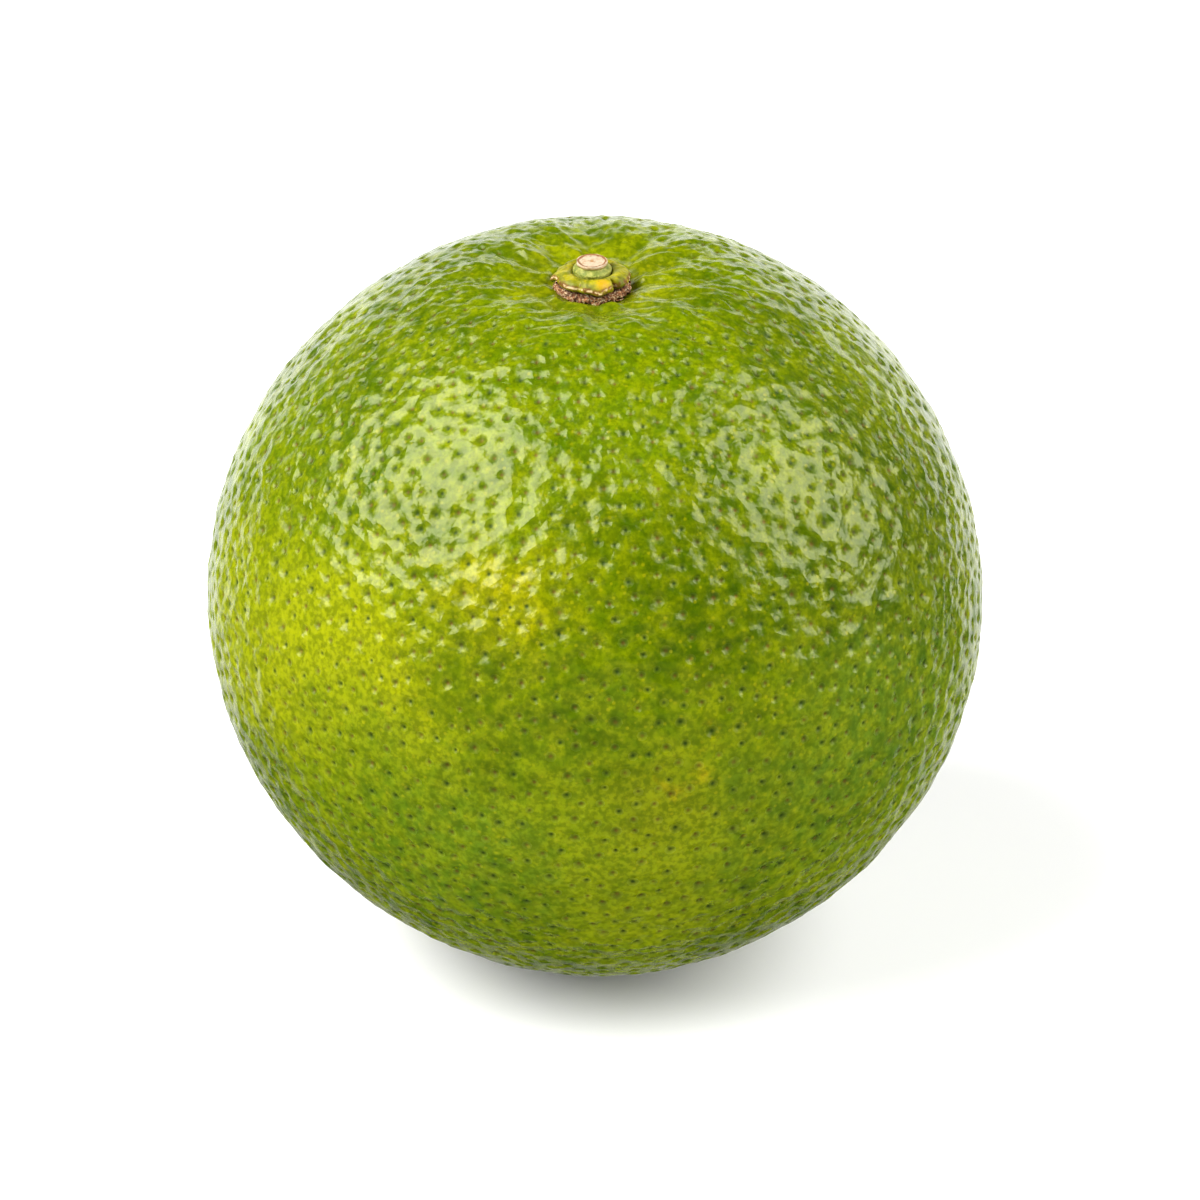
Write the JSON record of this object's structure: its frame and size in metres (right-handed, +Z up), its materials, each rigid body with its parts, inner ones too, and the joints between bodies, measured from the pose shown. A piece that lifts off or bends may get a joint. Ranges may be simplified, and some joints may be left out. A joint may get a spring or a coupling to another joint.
{
  "type": "orange",
  "caption": "Fresh green-skinned sweet orange with a dimpled glossy rind, a pointed calyx and a short cut stem in a shallow hollow, resting on its flattened blossom end",
  "frame": {"origin": "the middle of the small flat spot at the blossom end, on which the fruit stands", "axes": "+Z up along the core from the flat spot to the stem; +X to the right and +Y away as the fruit is seen from its front, where one tip of the calyx points nearly towards the viewer"},
  "size_m": [0.0749, 0.0742, 0.0725],
  "materials": {
    "rind": "waxy gloss over fine dimples, green with yellow-green patches",
    "dry_tissue": "dry, fibrous, matt brown",
    "calyx": "satin, yellow-green with paler edges and brown tips",
    "stem": "green bark with a pale, matt cut end"
  },
  "bodies": {
    "root": {"fruit": "rind", "dry_collar": "dry_tissue", "calyx": "calyx", "stem": "stem"}
  },
  "joints": []
}
